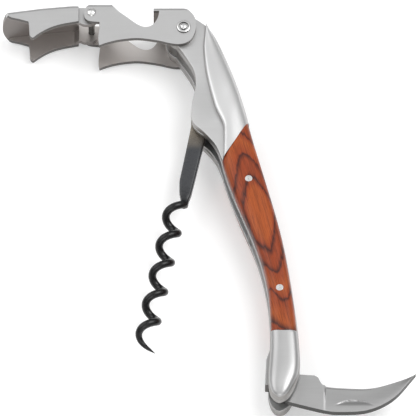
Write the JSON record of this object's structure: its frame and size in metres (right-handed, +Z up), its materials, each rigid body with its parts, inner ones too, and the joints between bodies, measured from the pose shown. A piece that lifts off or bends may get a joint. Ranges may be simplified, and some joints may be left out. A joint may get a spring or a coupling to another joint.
{
  "type": "lever corkscrew",
  "caption": "Folding lever corkscrew: wood-scaled steel handle, jointed bottle-rim lever with cap lifter, pivoting helical worm and hooked foil knife.",
  "frame": {"origin": "under the middle of the tool's box, as it lies half unfolded on its side", "axes": "+Y up along the handle towards the lever's pivot, +Z up through the thickness and along every hinge, +X from the worm's side to the knife's"},
  "size_m": [0.1118, 0.1242, 0.0154],
  "materials": {
    "satin_steel": "fine satin",
    "polished_steel": "polished",
    "rosewood": "oiled, figured red-brown",
    "black_coating": "semi-gloss black non-stick coating",
    "blade_steel": "ground",
    "spring_steel": "plain",
    "inner_steel": "turned"
  },
  "bodies": {
    "handle": {"near_liner": "satin_steel", "far_liner": "satin_steel", "near_front_bolster": "satin_steel", "far_front_bolster": "satin_steel", "near_wood_scale": "rosewood", "far_wood_scale": "rosewood", "near_rear_bolster": "satin_steel", "far_rear_bolster": "satin_steel", "near_pivot_collar": "polished_steel", "far_pivot_collar": "polished_steel", "near_worm_washer": "inner_steel", "far_worm_washer": "inner_steel", "near_knife_washer": "inner_steel", "far_knife_washer": "inner_steel", "head_spacer": "inner_steel", "centre_spacer": "inner_steel", "lever_pivot_rivet": "polished_steel", "front_scale_pin": "polished_steel", "rear_scale_pin": "polished_steel", "worm_pivot_pin": "inner_steel", "knife_pivot_pin": "inner_steel", "knife_spring_pin": "inner_steel", "centre_spacer_rivet": "inner_steel", "head_spacer_rivets": "inner_steel"},
    "inner_arm": {"inner_lever_arm": "satin_steel", "knuckle_rivet": "polished_steel"},
    "outer_arm": {"outer_lever_arm": "satin_steel"},
    "worm": {"corkscrew_worm": "black_coating"},
    "knife": {"foil_knife": "blade_steel"},
    "worm_leaf": {"worm_spring": "spring_steel"},
    "knife_leaf": {"knife_spring": "spring_steel"}
  },
  "joints": [
    {"name": "lever_pivot", "type": "hinge", "parent": "handle", "child": "inner_arm", "pos_m": [-0.0066, 0.05462, 0.0077], "axis": [0, 0, 1], "range_deg": [-20, 90]},
    {"name": "lever_knuckle", "type": "hinge", "parent": "inner_arm", "child": "outer_arm", "pos_m": [-0.0317, 0.05932, 0.0077], "axis": [0, 0, -1], "range_deg": [-70, 8]},
    {"name": "worm_pivot", "type": "hinge", "parent": "handle", "child": "worm", "pos_m": [-0.002, 0.02812, 0.0077], "axis": [0, 0, 1], "range_deg": [-64, 24]},
    {"name": "knife_pivot", "type": "hinge", "parent": "handle", "child": "knife", "pos_m": [0.0204, -0.05388, 0.0077], "axis": [0, 0, 1], "range_deg": [-74, 88]},
    {"name": "worm_spring_flex", "type": "hinge", "parent": "handle", "child": "worm_leaf", "pos_m": [0.011, 0.00682, 0.0077], "axis": [0, 0, -1], "range_deg": [0, 1], "stiffness_Nm_per_rad": 0.6},
    {"name": "knife_spring_flex", "type": "hinge", "parent": "handle", "child": "knife_leaf", "pos_m": [0.0124, -0.00738, 0.0077], "axis": [0, 0, -1], "range_deg": [0, 0.8], "stiffness_Nm_per_rad": 0.6}
  ]
}
